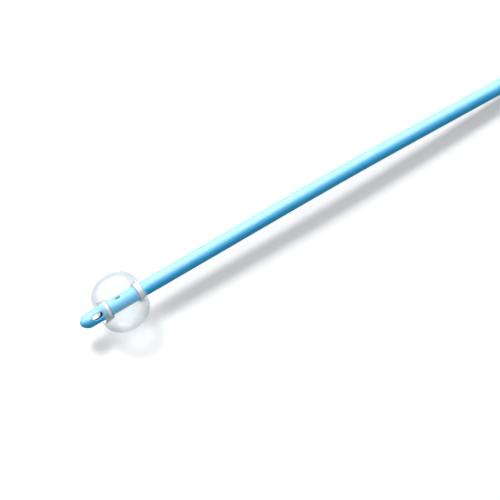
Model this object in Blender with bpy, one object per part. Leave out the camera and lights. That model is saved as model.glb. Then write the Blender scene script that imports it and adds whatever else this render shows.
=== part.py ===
"""Two-way urinary catheter, 18 French, lying at rest with its 5 ml balloon filled.

The catheter lies along +X, tip first. Its drainage funnel opens towards +X and the
inflation arm leaves the yoke on the +Y side. It rests on the balloon, on the rim of the
funnel and on the grip of the inflation valve, and the tube touches down between them.
Positions are worked out from the nose (x = 0), with the lying surface at z = 0. The whole
is then shifted so that its footprint is centred on the origin.
"""
import math

import bmesh
import bpy
import numpy as np
from mathutils import Matrix

MM = 0.001

# Clearances
BOND_GAP = 0.12 * MM          # glue line between a sleeve or socket and what it sits on
BUTT_GAP = 0.3 * MM           # between faces that meet end to end
SLIDE_GAP = 0.25 * MM         # around the valve's moving pieces
CUT_OVERRUN = 1.0 * MM        # how far a cutter runs past the face that it opens

# Tube, 18 French: one third of a millimetre for each unit
TUBE_RADIUS = 3.0 * MM
DRAIN_RADIUS = 1.6 * MM       # drainage lumen
DRAIN_OFFSET = 0.5 * MM       # drainage lumen's centre, away from the inflation lumen
INFLATION_RADIUS = 0.45 * MM  # inflation lumen
INFLATION_OFFSET = 2.05 * MM  # inflation lumen's centre, in the thick side of the wall
TUBE_SIDES = 24
DRAIN_SIDES = 16
INFLATION_SIDES = 10
SECTION_SPACING = 14.0 * MM   # between the sections of the swept tube

# Lengths along the catheter, from the nose
TIP_LENGTH = 12.1 * MM
YOKE_START = 344.0 * MM
YOKE_LENGTH = 66.0 * MM

# Directions around the tube, in degrees from +Y towards +Z
EYE_ANGLE = 119.0
PORT_ANGLE = 63.0

# Tip
NOSE_LENGTH = 3.2 * MM
NOSE_FULLNESS = 1.2           # 1 is a paraboloid, 2 is an ellipsoid
NOSE_STEPS = 8
BLIND_WALL = 3.4 * MM         # solid silicone ahead of the drainage lumen
EYE_CENTRE = 7.2 * MM         # from the nose
EYE_LENGTH = 4.6 * MM
EYE_WIDTH = 2.4 * MM
EYE_FLARE = 0.35 * MM         # how far the eye's rim opens outwards
EYE_ROUND_STEPS = 8

# Inflation port and the plug ahead of it
PORT_CENTRE = 17.2 * MM       # from the nose
PORT_LENGTH = 2.3 * MM
PORT_WIDTH = 1.3 * MM
PLUG_LENGTH = 2.6 * MM
PLUG_GAP = 0.1 * MM

# Balloon
BALLOON_CENTRE = 18.0 * MM    # from the nose
BALLOON_RADIUS = 12.0 * MM
BALLOON_HALF_LENGTH = 9.3 * MM
BALLOON_WALL = 0.3 * MM
LOBE_RADIUS = 5.2 * MM        # distance from the axis where the balloon is longest
FOLD_RADIUS = 0.42 * MM       # the turn where the balloon leaves its cuff
FRONT_CUFF_INNER = 5.3 * MM   # from the balloon's centre to the front cuff's inner edge
FRONT_CUFF_LENGTH = 1.4 * MM
REAR_CUFF_INNER = 6.9 * MM
REAR_CUFF_LENGTH = 2.3 * MM
LOBE_STEPS = 9
FOLD_STEPS = 4
BALLOON_SIDES = 32

# How the tube lies: (share of the way, share of the lift), read off by eye
FALL = (
    (0.1, 0.97), (0.2, 0.90), (0.3, 0.785), (0.4, 0.65), (0.5, 0.50),
    (0.6, 0.35), (0.7, 0.215), (0.8, 0.105), (0.9, 0.03),
)
RISE = ((0.2, 0.10), (0.4, 0.35), (0.6, 0.65), (0.8, 0.90))
LYING_GAP = 0.1 * MM          # between the tube and the surface where it touches down
STRAIGHT_BEHIND_BALLOON = 80.0 * MM
RISE_LENGTH = 52.0 * MM
STRAIGHT_BEFORE_YOKE = 4.0 * MM

# Yoke: nose, socket and drainage funnel
YOKE_NOSE_RADIUS = 3.75 * MM
YOKE_NECK = (14.0 * MM, 4.7 * MM)     # distance from the yoke's front end, radius
YOKE_WAIST = (25.0 * MM, 5.1 * MM)
FUNNEL_SHOULDER = (42.0 * MM, 6.9 * MM)
FUNNEL_END_RADIUS = 7.5 * MM
FUNNEL_BEAD_RADIUS = 8.2 * MM
FUNNEL_BEAD_LENGTH = 3.2 * MM
FUNNEL_BEAD_ROUND = 0.6 * MM
SOCKET_DEPTH = 18.0 * MM
CHANNEL_MOUTH_RADIUS = 5.8 * MM
CHANNEL_TAPER_END = (43.0 * MM, 5.1 * MM)
CHANNEL_THROAT = (25.0 * MM, 1.9 * MM)
GRIP_RINGS = 5
GRIP_RING_START = 45.5 * MM
GRIP_RING_PITCH = 2.9 * MM
GRIP_RING_WIDTH = 1.3 * MM
GRIP_RING_HEIGHT = 0.45 * MM
YOKE_SIDES = 32

# Yoke: inflation arm and web
ARM_ANGLE = 25.0              # degrees between the arm and the funnel
ARM_SETBACK = 9.0 * MM        # how far before the socket's floor the two axes cross
ARM_LENGTH = 44.0 * MM
ARM_ROOT_RADIUS = 3.5 * MM
ARM_END_RADIUS = 3.9 * MM
ARM_BEAD_RADIUS = 4.4 * MM
ARM_BEAD_LENGTH = 2.6 * MM
ARM_PASSAGE_RADIUS = 0.8 * MM
ARM_SIDES = 28
WEB_THICKNESS = 5.4 * MM
WEB_END = 36.0 * MM           # from the yoke's front end
WEB_HOLLOW = 3.0 * MM         # depth of the web's rounded rear edge
WEB_STEPS = 8

# Inflation valve, distances from the arm's mouth along the arm
TAIL_LENGTH = 11.0 * MM
TAIL_RADIUS = 2.5 * MM
TAIL_GROOVE_DEPTH = 0.25 * MM
FLANGE_RADIUS = 4.5 * MM
FLANGE_LENGTH = 1.6 * MM
GRIP_RADIUS = 4.2 * MM
GRIP_END = 9.8 * MM
COUPLING_RADIUS = 3.3 * MM
COUPLING_END = 14.4 * MM
COUPLING_MOUTH_RADIUS = 2.16 * MM   # the standard 6 per cent cone narrows from here
COUPLING_TAPER = 0.03         # radius lost for each unit of depth
COUPLING_DEPTH = 7.4 * MM
LUG_RADIUS = 3.9 * MM
LUG_LENGTH = 1.3 * MM
LUG_HALF_ANGLE = 34.0         # degrees
SEAT_HOLE_RADIUS = 1.05 * MM
SEAT_THICKNESS = 1.2 * MM
CHAMBER_RADIUS = 1.75 * MM
FLUTES = 10
FLUTE_RADIUS = 0.8 * MM
FLUTE_DEPTH = 0.35 * MM
FLUTE_SIDES = 12
VALVE_SIDES = 28

# Plunger, seal, spring and retainer
STROKE = 1.6 * MM             # how far a syringe pushes the plunger in
STEM_HALF_WIDTH = 0.7 * MM
STEM_THICKNESS = 0.45 * MM
STEM_MARGIN = 0.8 * MM        # how much of the stem still stands in the socket when pushed in
SEAL_INNER_RADIUS = 0.85 * MM
SEAL_THICKNESS = 0.9 * MM
SEAL_GAP = 0.1 * MM           # between the seal and its neighbours
NECK_RADIUS = 0.72 * MM
HEAD_THICKNESS = 1.0 * MM
PILOT_RADIUS = 0.6 * MM
PILOT_LENGTH = 1.8 * MM
SPRING_TURNS = 5.5
SPRING_WIRE_RADIUS = 0.14 * MM
SPRING_RADIUS = 1.15 * MM
SPRING_LENGTH = 6.6 * MM
SPRING_STEPS_PER_TURN = 14
SPRING_WIRE_SIDES = 6
RETAINER_LENGTH = 1.6 * MM
RETAINER_HOLE_RADIUS = 0.65 * MM
SMALL_SIDES = 20

# Heights and places that follow from the sizes above
LYING_HEIGHT = TUBE_RADIUS + LYING_GAP
FUNNEL_HEIGHT = FUNNEL_BEAD_RADIUS
ARM_START = SOCKET_DEPTH - ARM_SETBACK   # from the yoke's front end
STRAIGHT_END = BALLOON_CENTRE + STRAIGHT_BEHIND_BALLOON
RISE_END = YOKE_START - STRAIGHT_BEFORE_YOKE
TOUCH_DOWN = RISE_END - RISE_LENGTH
TUBE_START = TIP_LENGTH + BUTT_GAP
TUBE_END = YOKE_START + SOCKET_DEPTH - BUTT_GAP
SOCKET_RADIUS = TUBE_RADIUS + BOND_GAP
CUFF_INNER_RADIUS = TUBE_RADIUS + BOND_GAP
CUFF_MIDDLE_RADIUS = CUFF_INNER_RADIUS + BALLOON_WALL / 2
ARM_SOCKET_RADIUS = TAIL_RADIUS + BOND_GAP
ARM_SOCKET_DEPTH = TAIL_LENGTH + BUTT_GAP
COUPLING_FLOOR = COUPLING_END - COUPLING_DEPTH
SEAT_FACE = COUPLING_FLOOR - SEAT_THICKNESS
STEM_TOP = COUPLING_FLOOR + STROKE + STEM_MARGIN
SEAL_OUTER_RADIUS = CHAMBER_RADIUS - SLIDE_GAP
SEAL_TOP = SEAT_FACE - SEAL_GAP
HEAD_TOP = SEAL_TOP - SEAL_THICKNESS - SEAL_GAP
HEAD_BOTTOM = HEAD_TOP - HEAD_THICKNESS
SPRING_TOP = HEAD_BOTTOM - SEAL_GAP
SPRING_BOTTOM = SPRING_TOP - SPRING_LENGTH
RETAINER_TOP = SPRING_BOTTOM - SEAL_GAP

# The yoke rolls about the funnel's axis until the valve's grip lies on the surface
ARM_TO_GRIP_END = ARM_LENGTH + GRIP_END
ARM_DROP = math.asin(FUNNEL_HEIGHT / math.hypot(ARM_TO_GRIP_END, GRIP_RADIUS))
ARM_DROP -= math.atan2(GRIP_RADIUS, ARM_TO_GRIP_END)
YOKE_ROLL = math.asin(math.sin(ARM_DROP) / math.sin(math.radians(ARM_ANGLE)))


def principled(name, colour, roughness, transmission=0.0, metallic=0.0):
    """A plain material for one kind of surface."""
    material = bpy.data.materials.new(name)
    material.use_nodes = True
    shader = material.node_tree.nodes["Principled BSDF"]
    shader.inputs["Base Color"].default_value = (*colour, 1.0)
    shader.inputs["Roughness"].default_value = roughness
    shader.inputs["Metallic"].default_value = metallic
    shader.inputs["Transmission Weight"].default_value = transmission
    material.diffuse_color = (*colour, 1.0)
    return material


def add_object(name, bm, material, parent):
    """Turn a bmesh into a named object with outward faces and smooth round sides."""
    bmesh.ops.recalc_face_normals(bm, faces=bm.faces)
    mesh = bpy.data.meshes.new(name)
    bm.to_mesh(mesh)
    bm.free()
    if material is not None:
        mesh.materials.append(material)
    mesh.shade_smooth()
    mesh.set_sharp_from_angle(angle=math.radians(35.0))
    item = bpy.data.objects.new(name, mesh)
    bpy.context.collection.objects.link(item)
    item.parent = parent
    return item


def add_cutter(name, bm, parent):
    """A helper shape that only serves in a Boolean and isn't part of the object."""
    cutter = add_object(name, bm, None, parent)
    cutter.hide_render = True
    cutter.display_type = "WIRE"
    return cutter


def combine(target, tool, operation):
    """Cut or join one shape with another."""
    modifier = target.modifiers.new(tool.name, "BOOLEAN")
    modifier.operation = operation
    modifier.solver = "EXACT"
    modifier.object = tool
    target.modifiers.new(tool.name + "_faces", "TRIANGULATE")


def add_empty(name, parent, matrix):
    """A frame that carries other pieces."""
    frame = bpy.data.objects.new(name, None)
    bpy.context.collection.objects.link(frame)
    frame.parent = parent
    frame.matrix_local = matrix
    return frame


def turned(profile, sides, closed=False):
    """Spin (x, radius) points about X. A closed profile makes a ring or a hollow shape."""
    bm = bmesh.new()
    points = [bm.verts.new((x, radius, 0.0)) for x, radius in profile]
    edges = [bm.edges.new(pair) for pair in zip(points, points[1:])]
    if closed:
        edges.append(bm.edges.new((points[-1], points[0])))
    bmesh.ops.spin(
        bm, geom=points + edges, cent=(0.0, 0.0, 0.0), axis=(1.0, 0.0, 0.0),
        angle=math.tau, steps=sides, use_merge=True,
    )
    bmesh.ops.remove_doubles(bm, verts=bm.verts, dist=1e-7)
    return bm


def lofted(rings):
    """Skin a row of rings with equal numbers of points, and close both ends."""
    bm = bmesh.new()
    rows = [[bm.verts.new(point) for point in ring] for ring in rings]
    for row, following in zip(rows, rows[1:]):
        for index in range(len(row)):
            after = (index + 1) % len(row)
            bm.faces.new((row[index], row[after], following[after], following[index]))
    bm.faces.new(rows[0][::-1])
    bm.faces.new(rows[-1])
    return bm


def circle(centre, across, up, radius, sides):
    """Points of a circle in the plane of two unit vectors."""
    turns = np.arange(sides) * (math.tau / sides)
    return (
        np.asarray(centre)
        + radius * np.outer(np.cos(turns), across)
        + radius * np.outer(np.sin(turns), up)
    )


def prism(outline, low, high):
    """Extrude a flat (x, y) outline from one height to another."""
    return lofted([[(x, y, height) for x, y in outline] for height in (low, high)])


def arc(centre, radius_x, radius_y, start, end, steps):
    """Points of an elliptical arc, with both ends, angles in degrees."""
    angles = np.radians(np.linspace(start, end, steps + 1))
    return [
        (centre[0] + radius_x * math.cos(a), centre[1] + radius_y * math.sin(a))
        for a in angles
    ]


def slot_ring(centre_x, length, width, height, steps):
    """A long round-ended slot outline across a radial direction, at one height."""
    straight = (length - width) / 2
    half = width / 2
    outline = arc((centre_x + straight, 0.0), half, half, -90, 90, steps)
    outline += arc((centre_x - straight, 0.0), half, half, 90, 270, steps)
    return [(x, y, height) for x, y in outline]


def around_tube(angle, parent, height):
    """A frame on the tube's axis whose Z points out at an angle from +Y towards +Z."""
    turn = Matrix.Rotation(math.radians(angle - 90.0), 4, "X")
    return add_empty("direction_%d" % angle, parent, Matrix.Translation((0, 0, height)) @ turn)


# The way of the tube

def route_points():
    """Points that the tube's axis runs through, from the tip to the end of the socket."""
    points = [(TUBE_START, BALLOON_RADIUS)]
    points.append(((TUBE_START + STRAIGHT_END) / 2, BALLOON_RADIUS))
    points.append((STRAIGHT_END, BALLOON_RADIUS))
    for way, lift in FALL:
        x = STRAIGHT_END + way * (TOUCH_DOWN - STRAIGHT_END)
        points.append((x, LYING_HEIGHT + lift * (BALLOON_RADIUS - LYING_HEIGHT)))
    points.append((TOUCH_DOWN, LYING_HEIGHT))
    for way, lift in RISE:
        x = TOUCH_DOWN + way * RISE_LENGTH
        points.append((x, LYING_HEIGHT + lift * (FUNNEL_HEIGHT - LYING_HEIGHT)))
    points.append((RISE_END, FUNNEL_HEIGHT))
    points.append(((RISE_END + TUBE_END) / 2, FUNNEL_HEIGHT))
    points.append((TUBE_END, FUNNEL_HEIGHT))
    return np.array([(x, 0.0, z) for x, z in points])


def smooth_way(points, spacing):
    """Read a smooth cubic curve through the points, at about one spacing."""
    ends = np.vstack([2 * points[0] - points[1], points, 2 * points[-1] - points[-2]])
    way = []
    for before, start, end, after in zip(ends, ends[1:], ends[2:], ends[3:]):
        count = max(1, round(float(np.linalg.norm(end - start)) / spacing))
        for share in np.arange(count) / count:
            way.append(0.5 * (
                2 * start + (end - before) * share
                + (2 * before - 5 * start + 4 * end - after) * share**2
                + (3 * start - before - 3 * end + after) * share**3
            ))
    way.append(points[-1])
    return np.array(way)


def tangents_of(way):
    """Unit directions along a row of points."""
    steps = np.gradient(way, axis=0)
    return steps / np.linalg.norm(steps, axis=1)[:, None]


def lumen_roll(x):
    """The inflation lumen's direction: up at the balloon, towards the arm at the yoke."""
    share = min(1.0, max(0.0, (x - STRAIGHT_END) / (RISE_END - STRAIGHT_END)))
    gentle = share * share * (3 - 2 * share)
    start = math.radians(PORT_ANGLE)
    return start + gentle * (-YOKE_ROLL - start)


def swept(way, offset, radius, sides, overrun=0.0):
    """Carry a circle along the way, at an offset towards the inflation lumen."""
    directions = tangents_of(way)
    across = np.array((0.0, 1.0, 0.0))
    rings = []
    for point, direction in zip(way, directions):
        up = np.cross(direction, across)
        roll = lumen_roll(point[0])
        towards = math.cos(roll) * across + math.sin(roll) * up
        rings.append(circle(point + offset * towards, across, up, radius, sides))
    if overrun:
        rings.insert(0, rings[0] - overrun * directions[0])
        rings.append(rings[-1] + overrun * directions[-1])
    return lofted(rings)


# Pieces of the front end

def make_tip(frame, material):
    """Moulded tip: round nose, blind lumen and two opposite drainage eyes."""
    profile = []
    for share in np.linspace(0.0, 1.0, NOSE_STEPS + 1):
        x = NOSE_LENGTH * share**2
        fall = (1.0 - x / NOSE_LENGTH) ** NOSE_FULLNESS
        profile.append((x, TUBE_RADIUS * math.sqrt(1.0 - fall)))
    profile += [(TIP_LENGTH, TUBE_RADIUS), (TIP_LENGTH, 0.0)]
    tip = add_object("tip", turned(profile, TUBE_SIDES), material, frame)
    tip.location.z = BALLOON_RADIUS

    lumen_profile = arc((BLIND_WALL + DRAIN_RADIUS, 0.0), DRAIN_RADIUS, DRAIN_RADIUS, 180, 90, 5)
    lumen_profile[0] = (BLIND_WALL, 0.0)
    open_end = TIP_LENGTH + CUT_OVERRUN
    lumen_profile += [(open_end, DRAIN_RADIUS), (open_end, 0.0)]
    port_side = around_tube(PORT_ANGLE, frame, BALLOON_RADIUS)
    lumen = add_cutter("tip_lumen", turned(lumen_profile, DRAIN_SIDES), port_side)
    lumen.location.z = -DRAIN_OFFSET
    combine(tip, lumen, "DIFFERENCE")

    rim = TUBE_RADIUS - EYE_FLARE
    past = TUBE_RADIUS + EYE_FLARE
    flare = 4 * EYE_FLARE
    rings = [
        slot_ring(EYE_CENTRE, EYE_LENGTH + grow, EYE_WIDTH + grow, height, EYE_ROUND_STEPS)
        for grow, height in ((flare, -past), (0.0, -rim), (0.0, rim), (flare, past))
    ]
    eye_side = around_tube(EYE_ANGLE, frame, BALLOON_RADIUS)
    combine(tip, add_cutter("eyes", lofted(rings), eye_side), "DIFFERENCE")
    return tip


def make_shaft(frame, material):
    """Double-lumen extrusion with the inflation port skived into its wall."""
    way = smooth_way(route_points(), SECTION_SPACING)
    shaft = add_object("shaft", swept(way, 0.0, TUBE_RADIUS, TUBE_SIDES), material, frame)
    lumens = (
        ("drainage_lumen", -DRAIN_OFFSET, DRAIN_RADIUS, DRAIN_SIDES),
        ("inflation_lumen", INFLATION_OFFSET, INFLATION_RADIUS, INFLATION_SIDES),
    )
    for name, offset, radius, sides in lumens:
        bm = swept(way, offset, radius, sides, CUT_OVERRUN)
        combine(shaft, add_cutter(name, bm, frame), "DIFFERENCE")
    port_side = around_tube(PORT_ANGLE, frame, BALLOON_RADIUS)
    rings = [
        slot_ring(PORT_CENTRE, PORT_LENGTH, PORT_WIDTH, height, EYE_ROUND_STEPS)
        for height in (INFLATION_OFFSET, TUBE_RADIUS + CUT_OVERRUN)
    ]
    combine(shaft, add_cutter("inflation_port", lofted(rings), port_side), "DIFFERENCE")
    combine(shaft, arm_bore(frame, "shaft_skive", ARM_SOCKET_RADIUS), "DIFFERENCE")
    return shaft


def make_lumen_plug(frame, material):
    """Silicone plug that closes the inflation lumen ahead of the port."""
    radius = INFLATION_RADIUS - PLUG_GAP
    start = TUBE_START + PLUG_GAP
    profile = [(start, 0.0), (start, radius), (start + PLUG_LENGTH, radius)]
    profile.append((start + PLUG_LENGTH, 0.0))
    port_side = around_tube(PORT_ANGLE, frame, BALLOON_RADIUS)
    plug = add_object("inflation_lumen_plug", turned(profile, INFLATION_SIDES), material, port_side)
    plug.location.z = INFLATION_OFFSET
    return plug


def balloon_half(cuff_inner, cuff_length):
    """Middle line of half a balloon, from the end of its cuff to the crown."""
    crown = BALLOON_RADIUS - BALLOON_WALL / 2
    longest = BALLOON_HALF_LENGTH - BALLOON_WALL / 2
    fold_top = CUFF_MIDDLE_RADIUS + 2 * FOLD_RADIUS
    half = [(cuff_inner + cuff_length, CUFF_MIDDLE_RADIUS)]
    fold_centre = (cuff_inner, CUFF_MIDDLE_RADIUS + FOLD_RADIUS)
    half += arc(fold_centre, FOLD_RADIUS, FOLD_RADIUS, 270, 90, FOLD_STEPS)
    under = arc(
        (cuff_inner, LOBE_RADIUS), longest - cuff_inner, LOBE_RADIUS - fold_top, -90, 0, FOLD_STEPS
    )
    outer = arc((0.0, LOBE_RADIUS), longest, crown - LOBE_RADIUS, 0, 90, LOBE_STEPS)
    return half + under[1:] + outer[1:]


def make_balloon(frame, material):
    """Blown sleeve: two bonded cuffs, folded back under a full round lobe."""
    rear = balloon_half(REAR_CUFF_INNER, REAR_CUFF_LENGTH)
    front = balloon_half(FRONT_CUFF_INNER, FRONT_CUFF_LENGTH)
    middle = np.array([(-x, radius) for x, radius in front] + rear[-2::-1])
    along = tangents_of(middle)
    sideways = np.column_stack([-along[:, 1], along[:, 0]]) * (BALLOON_WALL / 2)
    profile = np.vstack([middle + sideways, (middle - sideways)[::-1]])
    balloon = add_object("balloon", turned(profile, BALLOON_SIDES, closed=True), material, frame)
    balloon.location = (BALLOON_CENTRE, 0.0, BALLOON_RADIUS)
    return balloon


# Pieces of the rear end

def funnel_profile():
    """Outer line of the yoke and funnel, from its front end to its mouth."""
    profile = [(0.0, 0.0), (0.0, YOKE_NOSE_RADIUS), YOKE_NECK, YOKE_WAIST, FUNNEL_SHOULDER]
    bead_start = YOKE_LENGTH - FUNNEL_BEAD_LENGTH

    def wall(x):
        share = (x - FUNNEL_SHOULDER[0]) / (bead_start - FUNNEL_SHOULDER[0])
        return FUNNEL_SHOULDER[1] + share * (FUNNEL_END_RADIUS - FUNNEL_SHOULDER[1])

    slope = GRIP_RING_WIDTH / 4
    for number in range(GRIP_RINGS):
        x = GRIP_RING_START + number * GRIP_RING_PITCH
        end = x + GRIP_RING_WIDTH
        profile += [(x, wall(x)), (x + slope, wall(x) + GRIP_RING_HEIGHT)]
        profile += [(end - slope, wall(end) + GRIP_RING_HEIGHT), (end, wall(end))]
    profile.append((bead_start, FUNNEL_END_RADIUS))
    profile.append((bead_start + FUNNEL_BEAD_ROUND, FUNNEL_BEAD_RADIUS))
    profile.append((YOKE_LENGTH - FUNNEL_BEAD_ROUND, FUNNEL_BEAD_RADIUS))
    profile.append((YOKE_LENGTH, FUNNEL_BEAD_RADIUS - FUNNEL_BEAD_ROUND))
    profile.append((YOKE_LENGTH, 0.0))
    return profile


def bore_rings():
    """Bore of the yoke: the tube's socket, the off-centre lumen and the round funnel."""
    stations = (
        (-CUT_OVERRUN, SOCKET_RADIUS, 0.0),
        (SOCKET_DEPTH, SOCKET_RADIUS, 0.0),
        (SOCKET_DEPTH, DRAIN_RADIUS, -DRAIN_OFFSET),
        (*CHANNEL_THROAT, 0.0),
        (*CHANNEL_TAPER_END, 0.0),
        (YOKE_LENGTH, CHANNEL_MOUTH_RADIUS, 0.0),
        (YOKE_LENGTH + CUT_OVERRUN, CHANNEL_MOUTH_RADIUS, 0.0),
    )
    return [
        circle((x, offset, 0.0), (0, 1, 0), (0, 0, 1), radius, YOKE_SIDES)
        for x, radius, offset in stations
    ]


def arm_frame(yoke, name):
    """A frame on the arm's mouth, with X along the arm and outwards."""
    turn = Matrix.Rotation(math.radians(ARM_ANGLE), 4, "Z")
    start = Matrix.Translation((ARM_START, 0.0, 0.0))
    return add_empty(name, yoke, start @ turn @ Matrix.Translation((ARM_LENGTH, 0.0, 0.0)))


def yoke_frame(frame, name):
    """A frame on the yoke's front end, rolled with the yoke."""
    place = Matrix.Translation((YOKE_START, 0.0, FUNNEL_HEIGHT))
    return add_empty(name, frame, place @ Matrix.Rotation(-YOKE_ROLL, 4, "X"))


def arm_bore(frame, name, seat_radius):
    """Passage from the tube's inflation lumen along the arm, with a seat for the valve."""
    mouth = arm_frame(yoke_frame(frame, name + "_yoke"), name + "_arm")
    start = -ARM_LENGTH + INFLATION_OFFSET / math.sin(math.radians(ARM_ANGLE))
    profile = [
        (start, 0.0), (start, ARM_PASSAGE_RADIUS), (-ARM_SOCKET_DEPTH, ARM_PASSAGE_RADIUS),
        (-ARM_SOCKET_DEPTH, seat_radius), (CUT_OVERRUN, seat_radius), (CUT_OVERRUN, 0.0),
    ]
    return add_cutter(name, turned(profile, VALVE_SIDES), mouth)


def web_outline():
    """Web between funnel and arm, with a hollow rear edge between the two axes."""
    slope = math.tan(math.radians(ARM_ANGLE))
    width = (WEB_END - ARM_START) * slope
    hollow = arc((WEB_END, width / 2), -WEB_HOLLOW, width / 2, -90, 90, WEB_STEPS)
    return [(ARM_START, 0.0)] + hollow


def make_y_funnel(frame, material):
    """One moulding: strain relief, drainage funnel, web and inflation arm."""
    yoke = yoke_frame(frame, "yoke")
    funnel = add_object("y_funnel", turned(funnel_profile(), YOKE_SIDES), material, yoke)

    mouth = arm_frame(yoke, "arm_mouth")
    bead_start = -ARM_BEAD_LENGTH
    arm_profile = [
        (-ARM_LENGTH, 0.0), (-ARM_LENGTH, ARM_ROOT_RADIUS), (bead_start, ARM_END_RADIUS),
        (bead_start + FUNNEL_BEAD_ROUND / 2, ARM_BEAD_RADIUS),
        (-FUNNEL_BEAD_ROUND / 2, ARM_BEAD_RADIUS),
        (0.0, ARM_BEAD_RADIUS - FUNNEL_BEAD_ROUND / 2), (0.0, 0.0),
    ]
    combine(funnel, add_cutter("arm", turned(arm_profile, ARM_SIDES), mouth), "UNION")
    web = prism(web_outline(), -WEB_THICKNESS / 2, WEB_THICKNESS / 2)
    combine(funnel, add_cutter("web", web, yoke), "UNION")

    combine(funnel, arm_bore(frame, "arm_bore", ARM_SOCKET_RADIUS), "DIFFERENCE")
    combine(funnel, add_cutter("bore", lofted(bore_rings()), yoke), "DIFFERENCE")
    return funnel


def housing_profile():
    """Closed section of the valve's housing, from tail to syringe mouth and back inside."""
    chamfer = TAIL_GROOVE_DEPTH
    profile = [(-TAIL_LENGTH, TAIL_RADIUS - 2 * chamfer), (-TAIL_LENGTH + 2 * chamfer, TAIL_RADIUS)]
    for groove in (0.3, 0.6):
        x = -TAIL_LENGTH * (1.0 - groove)
        profile += [(x, TAIL_RADIUS), (x, TAIL_RADIUS - chamfer)]
        profile += [(x + 4 * chamfer, TAIL_RADIUS - chamfer), (x + 4 * chamfer, TAIL_RADIUS)]
    flange_end = BUTT_GAP + FLANGE_LENGTH
    profile += [
        (BUTT_GAP, TAIL_RADIUS), (BUTT_GAP, FLANGE_RADIUS), (flange_end, FLANGE_RADIUS),
        (flange_end, GRIP_RADIUS), (GRIP_END - chamfer, GRIP_RADIUS),
        (GRIP_END, GRIP_RADIUS - chamfer), (GRIP_END, COUPLING_RADIUS),
        (COUPLING_END, COUPLING_RADIUS), (COUPLING_END, COUPLING_MOUTH_RADIUS),
        (COUPLING_FLOOR, COUPLING_MOUTH_RADIUS - COUPLING_TAPER * COUPLING_DEPTH),
        (COUPLING_FLOOR, SEAT_HOLE_RADIUS), (SEAT_FACE, SEAT_HOLE_RADIUS),
        (SEAT_FACE, CHAMBER_RADIUS), (-TAIL_LENGTH, CHAMBER_RADIUS),
    ]
    return profile


def lug_rings(turn):
    """One locking lug: a part of a ring that stands on the coupling's neck."""
    inner = (COUPLING_RADIUS + COUPLING_MOUTH_RADIUS) / 2
    rings = []
    for x in (COUPLING_END - LUG_LENGTH, COUPLING_END - BUTT_GAP / 2):
        outer = arc((0, 0), LUG_RADIUS, LUG_RADIUS, turn - LUG_HALF_ANGLE, turn + LUG_HALF_ANGLE, 6)
        back = arc((0, 0), inner, inner, turn + LUG_HALF_ANGLE, turn - LUG_HALF_ANGLE, 6)
        rings.append([(x, y, z) for y, z in outer + back])
    return rings


def make_valve_housing(mouth, material):
    """Coloured valve housing: grooved tail, flange, fluted grip and syringe coupling."""
    bm = turned(housing_profile(), VALVE_SIDES, closed=True)
    housing = add_object("valve_housing", bm, material, mouth)
    for number in (0, 1):
        lug = add_cutter("lug_%d" % number, lofted(lug_rings(180.0 * number)), mouth)
        combine(housing, lug, "UNION")
    start = BUTT_GAP + FLANGE_LENGTH + FLUTE_DEPTH
    centre = GRIP_RADIUS - FLUTE_DEPTH + FLUTE_RADIUS
    for number in range(FLUTES):
        turn = math.tau * (number + 0.5) / FLUTES + math.pi / 2
        place = (0.0, centre * math.cos(turn), centre * math.sin(turn))
        rings = [
            circle((x, place[1], place[2]), (0, 1, 0), (0, 0, 1), FLUTE_RADIUS, FLUTE_SIDES)
            for x in (start, GRIP_END + CUT_OVERRUN)
        ]
        combine(housing, add_cutter("flute_%d" % number, lofted(rings), mouth), "DIFFERENCE")
    return housing


def make_valve_plunger(mouth, material):
    """Plunger: cross-shaped stem in the socket, head under the seal, spring pilot."""
    profile = [
        (HEAD_BOTTOM - PILOT_LENGTH, 0.0), (HEAD_BOTTOM - PILOT_LENGTH, PILOT_RADIUS),
        (HEAD_BOTTOM, PILOT_RADIUS), (HEAD_BOTTOM, SEAL_OUTER_RADIUS),
        (HEAD_TOP, SEAL_OUTER_RADIUS), (HEAD_TOP, NECK_RADIUS),
        (SEAL_TOP, NECK_RADIUS), (SEAL_TOP, 0.0),
    ]
    plunger = add_object("valve_plunger", turned(profile, SMALL_SIDES), material, mouth)
    half = STEM_THICKNESS / 2
    reach = STEM_HALF_WIDTH
    cross = (
        (half, half), (half, reach), (-half, reach), (-half, half), (-reach, half), (-reach, -half),
        (-half, -half), (-half, -reach), (half, -reach), (half, -half), (reach, -half), (reach, half),
    )
    ends = ((HEAD_TOP + HEAD_BOTTOM) / 2, STEM_TOP)
    rings = [[(x, y, z) for y, z in cross] for x in ends]
    combine(plunger, add_cutter("stem", lofted(rings), mouth), "UNION")
    return plunger


def make_valve_seal(mouth, material):
    """Rubber ring that the spring holds against the seat."""
    low = SEAL_TOP - SEAL_THICKNESS
    corner = SEAL_THICKNESS / 4
    profile = [
        (low, SEAL_INNER_RADIUS), (low, SEAL_OUTER_RADIUS - corner),
        (low + corner, SEAL_OUTER_RADIUS), (SEAL_TOP - corner, SEAL_OUTER_RADIUS),
        (SEAL_TOP, SEAL_OUTER_RADIUS - corner), (SEAL_TOP, SEAL_INNER_RADIUS),
    ]
    return add_object("valve_seal", turned(profile, SMALL_SIDES, closed=True), material, mouth)


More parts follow.
